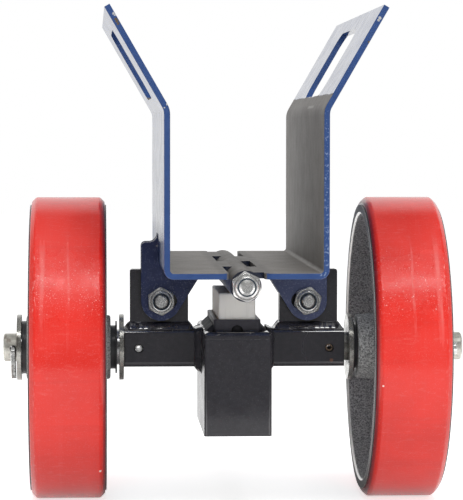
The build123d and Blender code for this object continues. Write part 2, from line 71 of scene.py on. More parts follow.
# Lamps: name, place, width, depth, power and whether reflections show it
lamp_target = (0.0, 0.0, 0.14)
lamps = [
    ("softbox_right", (0.34, -1.2, 1.67), 0.42, 0.34, 2.4, True),
    ("softbox_left", (-0.15, -1.2, 1.67), 0.34, 0.34, 3.0, True),
    ("key_right", (0.78, -1.2, 1.42), 0.5, 0.75, 3.2, False),
    ("key_left", (-0.72, -1.2, 1.42), 0.5, 0.75, 2.6, False),
    ("top_fill", (0.0, -0.3, 2.2), 1.5, 1.5, 19.0, False),
    ("front_fill", (0.35, -2.4, 0.42), 1.6, 0.9, 17.8, False),
]

# Sizes shared with the solids, mm
axle_z = 101.6
wheel_x = 111.625
rim_inner_r = 90.2
post_side = 22.225
tube_half = 12.7
tube_corner = 3.2
cap_top = 115.8
collar_side = 15.5
collar_end = 48.0
collar_wall = 3.0
collar_h = 7.7
notch_r = 3.9
notch_depth = 2.2
lug_in = 30.9
lug_out = 70.2
lug_side = 6.35
pivot_x = 49.35
roll_pin_x = 64.4
pivot_z = 133.6
pivot_nut_front = -21.51
hinge_z = 151.0
hinge_nut_front = -153.2
bolt_r = 5.0
plate_front = -152.4
flare_z = 261.3

# Rounding of the guide collar's corners and edges, and height of its welds, mm
collar_corner = 2.4
collar_soft = 0.5
collar_weld_h = {"left": 4.2, "right": 3.3}

# Lock-nut inserts, mm
insert_r = 5.75

# Return springs, mm
spring_d = 18.0
spring_wire = 2.4
spring_turns = 6
spring_clear = 0.05

# Weld beads, mm
bead_step = 0.4
bead_pitch = 3.4
bead_ripple = 0.03
bead_sides = 10

# Faces that meet at more than this angle keep a sharp edge, degrees
sharp_angle = 40

# Marks on the jaws, mm: place and radius of chips down to bright metal, of worn spots and of an ear's fleck
chips = [
    ((82.0, plate_front, 317.4), 1.2), ((81.0, plate_front, 316.0), 0.9),
    ((-82.3, plate_front, 319.7), 0.9), ((-81.5, plate_front, 318.7), 0.8),
    ((-49.2, plate_front, 264.3), 1.1), ((-51.0, plate_front, 262.0), 0.6),
]
worn_spots = [
    ((75.2, plate_front, 302.6), 1.0), ((-81.0, plate_front, 316.4), 1.0),
    ((-80.2, plate_front, 315.0), 1.2), ((-79.4, plate_front, 313.6), 1.0),
]
ear_fleck = ((-52.1, -11.6, 170.6), 0.8)
# Scratch across the right jaw's bare face, mm
scratch_y = -41.0
scratch_z = 263.7
# Bare steel ends this far above the flare's bend, along a line that waves by this much, mm
bare_rise = 8.6
bare_wave = 2.4

# Marks on the tyres, mm: a worn streak beside the tread's middle, partly a painted highlight, and two pale
# nicks
streak_x = 16.6
tyre_marks = [((91.0, -100.1, 84.2), 0.7), ((-90.4, -68.0, 25.9), 1.3)]

# Rust spot on the right axle tube, mm
tube_rust = ((65.9, -12.7, 93.2), 1.6)

# Pairs of shades that noise drifts between
jaw_blues = ((0.023, 0.054, 0.168), (0.039, 0.081, 0.222))
# The ears' blue is darker than the jaws': painted shade under the jaw's floor
ear_shaded_blues = ((0.016, 0.024, 0.078), (0.026, 0.037, 0.106))
bare_steels = ((0.112, 0.103, 0.094), (0.275, 0.253, 0.233))
frame_blacks = ((0.0245, 0.0236, 0.028), (0.044, 0.0425, 0.05))
tyre_reds = ((0.68, 0.0205, 0.0122), (0.775, 0.029, 0.0187))
web_greys = ((0.15, 0.144, 0.146), (0.72, 0.7, 0.705))
hub_greys = ((0.13, 0.132, 0.13), (0.74, 0.74, 0.725))
rim_greys = ((0.05, 0.05, 0.052), (0.11, 0.11, 0.112))
zinc_shades = ((0.68, 0.685, 0.68), (0.86, 0.86, 0.84))
bearing_greys = ((0.4, 0.4, 0.41), (0.6, 0.6, 0.6))
spring_greys = ((0.1, 0.1, 0.105), (0.26, 0.26, 0.27))
rubber_blacks = ((0.024, 0.024, 0.026), (0.046, 0.046, 0.05))
nylon_whites = ((0.86, 0.82, 0.75), (0.95, 0.91, 0.835))
insert_blues = ((0.008, 0.016, 0.03), (0.016, 0.04, 0.07))
floor_whites = ((0.9, 0.9, 0.9), (0.92, 0.92, 0.92))


class Nodes:
    """Adds and links nodes in one material or world."""

    def __init__(self, owner):
        owner.use_nodes = True
        self.tree = owner.node_tree
        coords = self.tree.nodes.new("ShaderNodeTexCoord")
        self.position = coords.outputs["Object"]
        self.normal = coords.outputs["Normal"]
        self.direction = coords.outputs["Generated"]

    def put(self, socket, value):
        """Link a socket to another one, or set it."""
        if isinstance(value, bpy.types.NodeSocket):
            self.tree.links.new(value, socket)
        else:
            socket.default_value = value

    def add(self, kind, inputs, **settings):
        """New node with its settings and inputs."""
        node = self.tree.nodes.new("ShaderNode" + kind)
        for name, value in settings.items():
            setattr(node, name, value)
        for key, value in inputs.items():
            self.put(node.inputs[key], value)
        return node

    def math(self, operation, *values):
        """Math node's result."""
        return self.add("Math", dict(enumerate(values)), operation=operation).outputs[0]

    def times(self, *values):
        """Product of several values."""
        result = values[0]
        for value in values[1:]:
            result = self.math("MULTIPLY", result, value)
        return result

    def plus(self, first, second):
        """Sum of two values."""
        return self.math("ADD", first, second)

    def minus(self, first, second):
        """First value less the second."""
        return self.math("SUBTRACT", first, second)

    def scaled(self, value, factor, extra):
        """Value times a factor, plus an extra."""
        return self.math("MULTIPLY_ADD", value, factor, extra)

    def most(self, *values):
        """Largest of several values."""
        result = values[0]
        for value in values[1:]:
            result = self.math("MAXIMUM", result, value)
        return result

    def size(self, value):
        """Value without its sign."""
        return self.math("ABSOLUTE", value)

    def radius(self, first, second):
        """Distance from an axis, from two coordinates across it."""
        return self.math("SQRT", self.plus(self.times(first, first), self.times(second, second)))

    def ramp(self, value, low, high, start=0.0, end=1.0):
        """Smooth step from start to end as the value goes from low to high."""
        inputs = {"Value": value, "From Min": low, "From Max": high, "To Min": start, "To Max": end}
        return self.add("MapRange", inputs, interpolation_type="SMOOTHSTEP").outputs[0]

    def ramp_mm(self, value, low_mm, high_mm, start=0.0, end=1.0):
        """Smooth step over a length, with its limits in mm."""
        return self.ramp(value, low_mm * MM, high_mm * MM, start, end)

    def split(self, vector):
        """The three parts of a vector."""
        return self.add("SeparateXYZ", {0: vector}).outputs

    def mix(self, factor, first, second):
        """Colour between two colours."""
        inputs = {0: factor, 6: colour(first), 7: colour(second)}
        return self.add("Mix", inputs, data_type="RGBA").outputs[2]

    def noise(self, scale, detail=2.0, rough=0.5):
        """Noise over the piece."""
        return self.grain((scale, scale, scale), detail, rough)

    def grain(self, scales, detail=2.0, rough=0.5):
        """Noise over the piece, with its own scale along each axis."""
        mapped = self.add("Mapping", {"Vector": self.position, "Scale": scales}).outputs[0]
        inputs = {"Vector": mapped, "Scale": 1.0, "Detail": detail, "Roughness": rough}
        return self.add("TexNoise", inputs).outputs["Fac"]

    def cells(self, scale):
        """Random value of each cell over the piece."""
        shade = self.add("TexVoronoi", {"Vector": self.position, "Scale": scale}).outputs["Color"]
        return self.split(shade)[0]

    def specks(self, scale, limit, width=0.04):
        """Small scattered spots where fine noise is above the limit."""
        return self.ramp(self.noise(scale, 1.0), limit, limit + width)

    def spot(self, place_mm, radius_mm):
        """Ragged spot round a place."""
        ragged_mm = 0.5 * radius_mm
        core_mm = 0.6 * radius_mm
        place = [c * MM for c in place_mm]
        away = self.add("VectorMath", {0: self.position, 1: place}, operation="DISTANCE").outputs["Value"]
        wobble = self.scaled(self.noise(900), 2 * ragged_mm * MM, -ragged_mm * MM)
        return self.ramp_mm(self.plus(away, wobble), radius_mm, core_mm)

    def spots(self, places):
        """Ragged spots of a list of places and radii."""
        return [self.spot(place, radius) for place, radius in places]

    def shelter(self, reach_mm):
        """How open a point is to its surroundings: 1 in the open, towards 0 in a crevice."""
        return self.add("AmbientOcclusion", {"Distance": reach_mm * MM}, samples=8).outputs["AO"]

    def rounded(self, radius_mm):
        """Normal over edges softened by a small radius."""
        return self.add("Bevel", {"Radius": radius_mm * MM}, samples=6).outputs[0]

    def edges(self, radius_mm, low=0.97, high=0.75):
        """Mask along the piece's edges."""
        flat = self.add("NewGeometry", {}).outputs["Normal"]
        inputs = {0: self.rounded(radius_mm), 1: flat}
        facing = self.add("VectorMath", inputs, operation="DOT_PRODUCT").outputs["Value"]
        return self.ramp(facing, low, high)

    def bump(self, height, depth_mm, strength=1.0, round_mm=0.0):
        """Normal from a height, over edges softened by a small radius."""
        inputs = {"Height": height, "Distance": depth_mm * MM, "Strength": strength}
        if round_mm:
            inputs["Normal"] = self.rounded(round_mm)
        return self.add("Bump", inputs).outputs[0]


class Paint(Nodes):
    """A material with one principled shader."""

    def __init__(self, name):
        self.material = bpy.data.materials.new(name)
        super().__init__(self.material)
        self.shader = self.tree.nodes["Principled BSDF"]

    def set(self, **values):
        """Set or link the shader's sockets; underscores stand for spaces."""
        for name, value in values.items():
            socket = self.shader.inputs[name.replace("_", " ")]
            self.put(socket, colour(value) if isinstance(value, tuple) else value)
        return self.material


def colour(value):
    """Four-part colour from three parts, or a socket as it is."""
    return (*value, 1.0) if isinstance(value, tuple) and len(value) == 3 else value


# Studio

def make_camera():
    """Camera fitted to the photograph's main corners, with no lens shift."""
    data = bpy.data.cameras.new("camera")
    data.sensor_fit = "VERTICAL"
    data.sensor_height = sensor_mm
    data.lens = focal_px * sensor_mm / photo_h
    data.clip_end = 20
    camera = bpy.data.objects.new("camera", data)
    turn = Matrix.Rotation(math.radians(-camera_yaw), 4, "Z")
    tip = Matrix.Rotation(math.radians(90 - camera_pitch), 4, "X")
    roll = Matrix.Rotation(math.radians(camera_roll), 4, "Z")
    camera.matrix_world = Matrix.Translation(camera_place) @ turn @ tip @ roll
    scene.collection.objects.link(camera)
    scene.camera = camera


def make_floor():
    """White floor that keeps a light shadow. In reflections it is a table top that ends in front, with
    painted shadow on it in a strip under and in front of the post and in a band near the axles.
    """
    half = 6.0
    glow = 0.68
    table_edge = -0.57
    edge_blur = 0.04
    strip_middle = -0.2
    strip_dim = -0.7
    strip_shadow_grey = 0.6
    axle_shadow_dim = -0.25
    room_grey = (0.16, 0.16, 0.16)
    mesh = bpy.data.meshes.new("floor")
    corners = [(-half, -half, 0), (half, -half, 0), (half, half, 0), (-half, half, 0)]
    mesh.from_pydata(corners, [], [(0, 1, 2, 3)])
    floor = bpy.data.objects.new("floor", mesh)
    scene.collection.objects.link(floor)
    material = bpy.data.materials.new("floor")
    net = Nodes(material)
    path = net.add("LightPath", {})
    seen = path.outputs["Is Camera Ray"]
    mirrored = path.outputs["Is Glossy Ray"]
    x, y = net.split(net.position)[:2]
    table = net.ramp(y, table_edge - edge_blur, table_edge + edge_blur)
    # Painted shadow on the table, seen only in reflections: a strip under and in front of the post, and a
    # band near the axles
    along_strip = net.ramp(net.size(net.minus(y, strip_middle)), 0.52, 0.32)
    shadow_strip = net.times(along_strip, net.ramp(net.size(x), 0.1, 0.075))
    axle_shadow = net.scaled(net.ramp(net.size(y), 0.14, 0.05), axle_shadow_dim, 1.0)
    lit_table = net.times(table, net.scaled(shadow_strip, strip_dim, axle_shadow))
    gone = net.most(net.minus(1.0, table), net.times(shadow_strip, strip_shadow_grey))
    shade = net.mix(net.noise(3.0), *floor_whites)
    matt = net.add("BsdfDiffuse", {"Color": net.mix(net.times(mirrored, gone), shade, room_grey)})
    bright = net.most(seen, net.times(mirrored, lit_table))
    white = net.add("Emission", {"Strength": net.times(bright, glow)})
    both = net.add("AddShader", {0: matt.outputs[0], 1: white.outputs[0]})
    net.put(net.tree.nodes["Material Output"].inputs["Surface"], both.outputs[0])
    mesh.materials.append(material)


def make_world():
    """White to the camera and, behind and beside the object, in reflections; a dimmer room in front."""
    light_level = 0.42
    room_level = 0.16
    ceiling_level = 0.24
    side_level = 0.6
    backdrop_lean = -0.3
    world = bpy.data.worlds.new("studio")
    scene.world = world
    net = Nodes(world)
    x, y, z = net.split(net.direction)
    behind = net.ramp(net.scaled(z, backdrop_lean, y), 0.26, 0.58)
    front = net.ramp(z, 0.8, 0.92, room_level, room_level + ceiling_level)
    beside = net.ramp(net.size(x), 0.8, 0.95, 0.0, side_level)
    mirrored = net.scaled(net.most(behind, beside), net.minus(1.0, front), front)
    path = net.add("LightPath", {})
    clear = net.most(path.outputs["Is Glossy Ray"], path.outputs["Is Transmission Ray"])
    lit = net.scaled(net.minus(mirrored, light_level), clear, light_level)
    background = net.tree.nodes["Background"]
    net.put(background.inputs["Strength"], net.most(lit, path.outputs["Is Camera Ray"]))
    net.put(background.inputs["Color"], (1.0, 1.0, 1.0, 1.0))


def make_lamp(name, place, width, depth, power, mirrored):
    """Soft rectangular lamp, seen in reflections or not."""
    data = bpy.data.lights.new(name, "AREA")
    data.shape = "RECTANGLE"
    data.size = width
    data.size_y = depth
    data.energy = power
    lamp = bpy.data.objects.new(name, data)
    aim = (Vector(lamp_target) - Vector(place)).to_track_quat("-Z", "Y")
    lamp.matrix_world = Matrix.Translation(place) @ aim.to_matrix().to_4x4()
    lamp.visible_glossy = mirrored
    scene.collection.objects.link(lamp)


# Materials

def blue_paint(net, shades, places):
    """Gloss blue with a little colour drift, chipped to bright metal along its edges and at some spots."""
    bare_metal = (0.5, 0.5, 0.5)
    paint = net.mix(net.noise(160, 4.0), *shades)
    edge = net.times(net.edges(0.7), net.specks(420, 0.6))
    chip = net.most(edge, *net.spots(places))
    return net.mix(chip, paint, bare_metal), chip


def jaw_paint(net, away, near_hinge, open_air):
    """The jaws' blue: worn spots, nicks on the right wall's front, and painted shade along the edges, in
    crevices, on the hinge slots' sides and round the hinge.
    """
    worn_brown = (0.1, 0.075, 0.05)
    edge_shade_blue = (0.012, 0.018, 0.045)
    nick_blue = (0.32, 0.4, 0.55)
    crevice_shade_blue = (0.006, 0.008, 0.02)
    slot_shade_black = (0.006, 0.007, 0.012)
    barrel_shade_blue = (0.03, 0.034, 0.05)
    x, y, z = net.split(net.position)
    ny = net.split(net.normal)[1]
    paint, chip = blue_paint(net, jaw_blues, chips)
    paint = net.mix(net.most(*net.spots(worn_spots)), paint, worn_brown)
    # Painted shade along the edges
    paint = net.mix(net.times(net.edges(0.55), 0.5), paint, edge_shade_blue)
    right_wall = net.times(net.ramp_mm(x, 44.0, 46.0), net.ramp_mm(z, 262.0, 256.0))
    nicked = net.times(right_wall, net.ramp(ny, -0.9, -0.95, 0.0, 0.5))
    paint = net.mix(net.times(nicked, net.specks(1000, 0.6, 0.08)), paint, nick_blue)
    # Painted shade in crevices
    paint = net.mix(open_air, crevice_shade_blue, paint)
    # Painted shade on the sides of the slots beside the hinge
    shaded_slot_side = net.times(near_hinge, net.ramp(net.size(ny), 0.7, 0.8))
    shaded_slot_side = net.times(shaded_slot_side, net.ramp_mm(y, plate_front + 2.0, plate_front + 4.0))
    paint = net.mix(net.times(shaded_slot_side, 0.85), paint, slot_shade_black)
    # Painted shade round the hinge's barrel
    return net.mix(net.ramp_mm(away, 11.5, 10.3, 0.0, 0.6), paint, barrel_shade_blue), chip


def bare_steel(net, streak, near_hinge, open_air):
    """The gripping faces' steel: streaks, clouds, grit, pits, a scratch, dark knuckles and painted shade in
    crevices.
    """
    cloud_grey = (0.165, 0.152, 0.14)
    grit_grey = (0.3, 0.285, 0.27)
    pit_grey = (0.07, 0.065, 0.06)
    scratch_grey = (0.5, 0.48, 0.45)
    knuckle_grey = (0.075, 0.07, 0.065)
    crevice_shade_grey = (0.05, 0.047, 0.044)
    x, y, z = net.split(net.position)
    steel = net.mix(streak, *bare_steels)
    cloud = net.ramp(net.noise(38, 4.0), 0.35, 0.7)
    steel = net.mix(net.times(cloud, 0.8), steel, cloud_grey)
    steel = net.mix(net.times(net.specks(900, 0.6, 0.1), 0.5), steel, grit_grey)
    steel = net.mix(net.times(net.specks(800, 0.58, 0.12), 0.4), steel, pit_grey)
    scratch = net.times(net.ramp_mm(net.size(net.minus(z, scratch_z * MM)), 1.2, 0.4),
                        net.ramp_mm(net.size(net.minus(y, scratch_y * MM)), 26.0, 16.0),
                        net.ramp_mm(x, 0.0, 10.0, 0.0, 0.55))
    steel = net.mix(scratch, steel, scratch_grey)
    knuckle = net.times(near_hinge, net.ramp(net.noise(150, 4.0), 0.35, 0.65, 0.3, 0.7))
    steel = net.mix(knuckle, steel, knuckle_grey)
    # Painted shade in crevices
    return net.mix(net.ramp(open_air, 0.2, 0.7), crevice_shade_grey, steel)


def jaw_material():
    """Blue paint outside and on the edges; bare, streaked steel on the faces that grip the plate."""
    net = Paint("jaw_paint")
    position = net.split(net.position)
    x, z = position[0], position[2]
    nx, ny, nz = net.split(net.normal)
    inward = net.times(nx, net.times(net.math("SIGN", x), -1.0))
    inner = net.most(net.ramp(inward, 0.3, 0.45), net.ramp(nz, 0.3, 0.45))
    inner = net.times(inner, net.ramp(net.size(ny), 0.75, 0.55))
    border = net.scaled(net.noise(45, 3.0), bare_wave * MM, (flare_z + bare_rise) * MM)
    bare = net.times(inner, net.ramp_mm(net.minus(z, border), 0.3, -0.3))
    # 1 in the open, towards 0 in crevices, where painted shade goes
    open_air = net.ramp(net.shelter(9.0), 0.2, 0.65)
    away = net.radius(x, net.minus(z, hinge_z * MM))
    near_hinge = net.ramp_mm(away, 21.0, 16.0)
    streak = net.grain((700, 700, 28), 4.0, 0.6)
    paint, chip = jaw_paint(net, away, near_hinge, open_air)
    steel = bare_steel(net, streak, near_hinge, open_air)
    dusty = net.times(net.ramp(inward, -0.7, -0.9), net.ramp_mm(z, 192.0, 172.0, 0.08, 0.4))
    dull = net.most(bare, net.ramp_mm(away, 12.5, 10.8), dusty)
    roughness = net.scaled(dull, 0.42, net.ramp(net.noise(90, 3.0), 0.3, 0.7, 0.1, 0.17))
    height = net.scaled(streak, bare, net.noise(600))
    return net.set(Base_Color=net.mix(bare, paint, steel), Roughness=roughness,
                   Metallic=net.times(net.most(bare, chip), 0.25), Normal=net.bump(height, 0.05, 0.25))


def ear_material():
    """Blue paint on the ears, darkened as painted shade under the jaw, dusty with pale specks, and lightened
    on the right as painted light.
    """
    dust_and_light_blue = (0.28, 0.32, 0.5)
    net = Paint("ear_paint")
    x = net.split(net.position)[0]
    paint, chip = blue_paint(net, ear_shaded_blues, [ear_fleck])
    # Painted light: the right ear is paler
    right = net.ramp_mm(x, -10.0, 10.0, 0.0, 0.125)
    dust = net.times(net.specks(1100, 0.56, 0.16), 0.16)
    shade = net.mix(net.plus(dust, right), paint, dust_and_light_blue)
    return net.set(Base_Color=shade, Roughness=net.ramp(net.noise(90, 3.0), 0.3, 0.7, 0.18, 0.28),
                   Metallic=net.times(chip, 0.6), Normal=net.bump(net.noise(600), 0.05, 0.25, 0.4))


def frame_material(name, shine, peel, gloss=0.8, tone=1.0, peel_scale=(420, 420, 420)):
    """Black paint with orange-peel and dust, worn grey along its edges partly as a painted highlight, painted
    shade in its crevices, and polished on its upper front corners.
    """
    worn_and_highlight_grey = (0.2, 0.2, 0.2)
    dust_grey = (0.4, 0.4, 0.4)
    rust_brown = (0.22, 0.1, 0.06)
    crevice_shade_black = (0.005, 0.005, 0.005)
    net = Paint(name)
    nx, ny, nz = net.split(net.normal)
    dark, light = [tuple(tone * c for c in shade) for shade in frame_blacks]
    black = net.mix(net.noise(300, 4.0), dark, light)
    # Worn edges, partly a painted highlight
    black = net.mix(net.times(net.edges(0.5), net.specks(500, 0.58), 0.5), black, worn_and_highlight_grey)
    black = net.mix(net.times(net.specks(1500, 0.6, 0.15), 0.05), black, dust_grey)
    black = net.mix(net.times(net.spot(*tube_rust), 0.6), black, rust_brown)
    # Painted shade in crevices
    black = net.mix(net.ramp(net.shelter(5.0), 0.3, 0.75), crevice_shade_black, black)
    side = net.ramp(net.size(nx), 0.7, 0.95, 0.0, 0.2)
    corner = net.times(net.ramp(ny, -0.25, -0.5), net.ramp(nz, 0.25, 0.5))
    roughness = net.plus(net.ramp(net.noise(70, 3.0), 0.35, 0.65, shine, shine + 0.05), side)
    return net.set(Base_Color=black, Roughness=roughness, Specular_IOR_Level=gloss,
                   Coat_Weight=net.times(corner, gloss), Coat_Roughness=0.04, Coat_IOR=3.0,
                   Normal=net.bump(net.grain(peel_scale), peel, 0.35, 0.8))


def tyre_material():
    """Satin red polyurethane, faintly grooved round the tread, with fine pale specks, denser as painted
    glints where the lamps' highlight falls, darker inner shoulders, and pale streaks that are partly a
    painted highlight.
    """
    band_red = (0.5, 0.014, 0.012)
    chalk_pink = (0.9, 0.3, 0.27)
    speck_and_glint_pink = (0.92, 0.66, 0.62)
    inner_shoulder_red = (0.13, 0.014, 0.022)
    nick_pink = (0.9, 0.66, 0.62)
    mark_pink = (0.9, 0.72, 0.66)
    streak_and_highlight_pink = (0.9, 0.5, 0.47)
    scuff_pink = (0.9, 0.42, 0.38)
    net = Paint("tyre_red")
    x, y, z = net.split(net.position)
    turn = net.math("ARCTAN2", net.minus(z, axle_z * MM), net.times(y, -1.0))
    # Band of the tread where the lamps' highlight falls: rubbed there, and its pale specks and nicks are
    # denser or brighter as painted glints
    rubbed_and_glint_band = net.times(net.ramp(turn, 0.2, 0.42), net.ramp(turn, 0.85, 0.5))
    outward = net.minus(net.size(x), wheel_x * MM)
    cloud = net.noise(24, 4.0)
    red = net.mix(net.ramp(cloud, 0.3, 0.7), *tyre_reds)
    band = net.ramp(net.grain((7, 130, 130), 3.0, 0.55), 0.56, 0.66)
    red = net.mix(net.times(band, 0.12), red, band_red)
    chalk = net.ramp(net.grain((330, 5, 5), 3.0), 0.52, 0.72)
    red = net.mix(net.times(chalk, 0.025), red, chalk_pink)
    fine = net.times(net.specks(1700, 0.62, 0.1), net.scaled(rubbed_and_glint_band, 0.2, 0.08))
    coarse = net.times(net.specks(1000, 0.7, 0.05), net.scaled(rubbed_and_glint_band, 0.75, 0.04))
    red = net.mix(net.most(fine, coarse), red, speck_and_glint_pink)
    # Darker towards the inner shoulder
    red = net.mix(net.times(net.ramp_mm(outward, -22.2, -23.6), 0.75), red, inner_shoulder_red)
    corner = net.times(net.ramp_mm(outward, 19.6, 20.6), net.ramp_mm(outward, 22.8, 21.6))
    nick = net.times(corner, net.ramp(net.grain((900, 200, 200)), 0.58, 0.68))
    # Nicks brighter in the glint band: partly painted glints
    red = net.mix(net.times(nick, net.scaled(rubbed_and_glint_band, 0.4, 0.1)), red, nick_pink)
    red = net.mix(net.most(*net.spots(tyre_marks)), red, mark_pink)
    wander = net.scaled(net.grain((5, 14, 14), 1.0), 5.0 * MM, -2.5 * MM)
    place = net.plus(outward, wander)
    # Pale streaks over the upper front of the tread: worn rubber, partly a painted highlight
    streak = net.most(net.ramp_mm(net.size(place), 1.2, 0.2),
                      net.ramp_mm(net.size(net.minus(place, streak_x * MM)), 2.6, 0.4))
    streak = net.times(streak, net.ramp(net.grain((500, 30, 30), 3.0), 0.35, 0.7))
    streak = net.times(streak, net.ramp(turn, 0.02, 0.3), net.ramp(turn, 0.95, 0.55))
    red = net.mix(net.times(streak, 0.22), red, streak_and_highlight_pink)
    scuff = net.ramp(net.grain((150, 520, 520), 4.0, 0.6), 0.54, 0.72)
    red = net.mix(net.times(scuff, 0.07), red, scuff_pink)
    roughness = net.scaled(streak, 0.15, net.ramp(cloud, 0.25, 0.75, 0.17, 0.27))
    patchy = net.ramp(net.noise(70, 3.0), 0.35, 0.65, 0.02, 0.18)
    groove = net.grain((210, 1.5, 1.5), 3.0)
    height = net.scaled(net.noise(600, 3.0), net.scaled(rubbed_and_glint_band, 1.8, 0.1), groove)
    return net.set(Base_Color=red, Roughness=net.scaled(rubbed_and_glint_band, patchy, roughness), Specular_IOR_Level=0.5,
                   Normal=net.bump(height, 0.06, 0.7))


def core_material():
    """Rough cast iron: grainy web and hub, machined rim faces whose bright lip and edges are partly a painted
    highlight. The left hub is darkened as painted shade.
    """
    left_hub_shade = (0.12, 0.122, 0.12)
    machined_and_highlight_edge = (0.92, 0.9, 0.87)
    net = Paint("cast_iron")
    x, y, z = net.split(net.position)
    radius = net.radius(y, net.minus(z, axle_z * MM))
    across = net.size(net.minus(net.size(x), wheel_x * MM))
    grain = net.ramp(net.noise(900, 4.0, 0.75), 0.36, 0.64)
    # The left hub is darkened: painted shade
    hub = net.mix(net.ramp_mm(x, 20.0, -20.0, 0.0, 0.6), net.mix(grain, *hub_greys), left_hub_shade)
    cast = net.mix(net.ramp_mm(radius, 27.5, 24.5), net.mix(grain, *web_greys), hub)
    machined = net.times(net.ramp_mm(across, 24.2, 24.6), net.ramp_mm(radius, 80.0, 82.0))
    turning = net.grain((1, 1200, 1200))
    shade = net.mix(machined, cast, net.mix(turning, *rim_greys))
    # Machined lip and edges, painted bright: partly a painted highlight
    lip = net.times(net.ramp_mm(radius, rim_inner_r - 0.4, rim_inner_r),
                    net.ramp_mm(radius, rim_inner_r + 1.5, rim_inner_r + 1.1),
                    net.ramp_mm(across, 23.6, 24.1))
    bright = net.most(lip, net.times(net.edges(0.7, 0.95, 0.7), 0.85))
    roughness = net.scaled(lip, -0.2, net.scaled(machined, -0.06, 0.52))
    height = net.times(grain, net.scaled(machined, -0.85, 1.0))
    return net.set(Base_Color=net.mix(bright, shade, machined_and_highlight_edge), Roughness=roughness,
                   Metallic=net.times(lip, 0.5), Normal=net.bump(height, 0.3, 0.6))


def zinc_material(name, tone, dullness=0.0):
    """Bright zinc plate, mottled, with painted shade in its crevices, dark at its thread ends, and some rust
    at the left axle.

    The right roll pin's front end is rusty, and its other faces, in and round its hole, are painted shade.
    """
    cloud_grey = (0.42, 0.41, 0.38)
    rust_brown = (0.2, 0.12, 0.075)
    pin_hole_shade = (0.012, 0.009, 0.007)
    pin_brown = (0.4, 0.28, 0.2)
    crevice_shade_grey = (0.03, 0.028, 0.026)
    thread_grey = (0.06, 0.06, 0.062)
    net = Paint(name)
    x, y, z = net.split(net.position)
    ny = net.split(net.normal)[1]
    cloud = net.noise(190, 4.0, 0.6)
    dull, clean = [tuple(t * c for t, c in zip(tone, shade)) for shade in zinc_shades]
    metal = net.mix(net.cells(700), dull, clean)
    metal = net.mix(net.times(net.ramp(cloud, 0.5, 0.72), 0.45), metal, cloud_grey)
    left_end = net.ramp_mm(x, -143.0, -149.0, 0.1, 0.75)
    rust = net.times(net.ramp(net.noise(210, 5.0), 0.53, 0.66), left_end)
    metal = net.mix(net.times(rust, 0.7), metal, rust_brown)
    pin_away = net.radius(net.minus(x, roll_pin_x * MM), net.minus(z, axle_z * MM))
    pin = net.ramp_mm(pin_away, 3.4, 3.0)
    # The right roll pin's faces that don't face the front are painted shade
    pin_end = net.mix(net.ramp(ny, -0.4, -0.7), pin_hole_shade, pin_brown)
    metal = net.mix(pin, metal, pin_end)
    # Painted shade in crevices
    metal = net.mix(net.ramp(net.shelter(4.0), 0.3, 0.7), crevice_shade_grey, metal)
    for place_x in (-pivot_x, pivot_x):
        away = net.radius(net.minus(x, place_x * MM), net.minus(z, pivot_z * MM))
        thread = net.times(net.ramp_mm(away, 4.1, 4.3), net.ramp_mm(away, 5.2, 5.0))
        thread = net.times(thread, net.ramp_mm(y, -20.0, -21.0))
        metal = net.mix(net.times(thread, 0.85), metal, thread_grey)
    roughness = net.ramp(cloud, 0.3, 0.7, 0.14 + dullness, 0.32 + dullness)
    roughness = net.most(roughness, net.times(pin, 0.9))
    return net.set(Base_Color=metal, Metallic=net.scaled(pin, -0.8, 0.8), Roughness=roughness,
                   Normal=net.bump(net.noise(700, 3.0), 0.06, 0.5, 0.35))


def bearing_material():
    """Ground steel with fine lines round the axle."""
    net = Paint("bearing_steel")
    lines = net.grain((2600, 60, 60))
    return net.set(Base_Color=net.mix(lines, *bearing_greys), Metallic=1.0,
                   Roughness=net.ramp(lines, 0.2, 0.8, 0.18, 0.3))


def spring_material():
    """Oiled dark spring wire."""
    net = Paint("spring_steel")
    cloud = net.noise(300, 3.0)
    return net.set(Base_Color=net.mix(cloud, *spring_greys), Metallic=1.0,
                   Roughness=net.ramp(cloud, 0.3, 0.7, 0.25, 0.4))


def rubber_material():
    """Dull black rubber."""
    net = Paint("seal_black")
    cloud = net.noise(260, 3.0)
    return net.set(Base_Color=net.mix(cloud, *rubber_blacks), Roughness=net.ramp(cloud, 0.3, 0.7, 0.28, 0.42),
                   Normal=net.bump(net.noise(900), 0.05, 0.4, 0.3))


def nylon_material():
    """Off-white nylon with faint saw marks; its sides are tinted tan as painted shade, and its top is
    whitened as painted light.
    """
    mark_tan = (0.5, 0.46, 0.4)
    side_shade_tan = (0.92, 0.78, 0.65)
    top_lit_white = (0.96, 0.92, 0.86)
    scatter = (1.0, 0.95, 0.9)
    net = Paint("plunger_plastic")
    ny, nz = net.split(net.normal)[1:]
    top = net.ramp(nz, 0.5, 0.8)
    side = net.minus(net.ramp(ny, -0.6, -0.3), top)
    marks = net.grain((900, 900, 60))
    shade = net.mix(net.noise(60, 4.0), *nylon_whites)
    shade = net.mix(net.times(net.ramp(marks, 0.5, 0.75), 0.12), shade, mark_tan)
    # Painted shade tint on the sides and painted light on the top
    shade = net.mix(side, shade, side_shade_tan)
    shade = net.mix(top, shade, top_lit_white)
    net.shader.inputs["Subsurface Radius"].default_value = scatter
    return net.set(Base_Color=shade, Roughness=net.ramp(marks, 0.3, 0.7, 0.42, 0.58), Specular_IOR_Level=0.35,
                   Subsurface_Weight=0.6, Subsurface_Scale=0.02, Normal=net.bump(marks, 0.04, 0.3, 0.4))


def insert_material():
    """Dark blue nylon of the lock nuts' inserts."""
    net = Paint("insert_nylon")
    cloud = net.noise(500)
    return net.set(Base_Color=net.mix(cloud, *insert_blues), Roughness=net.ramp(cloud, 0.3, 0.7, 0.3, 0.45))


# Pieces

def mesh_from_mm(name, points, faces):
    """Mesh from points in mm."""
    mesh = bpy.data.meshes.new(name)
    mesh.from_pydata([[c * MM for c in p] for p in points], [], faces)
    return mesh


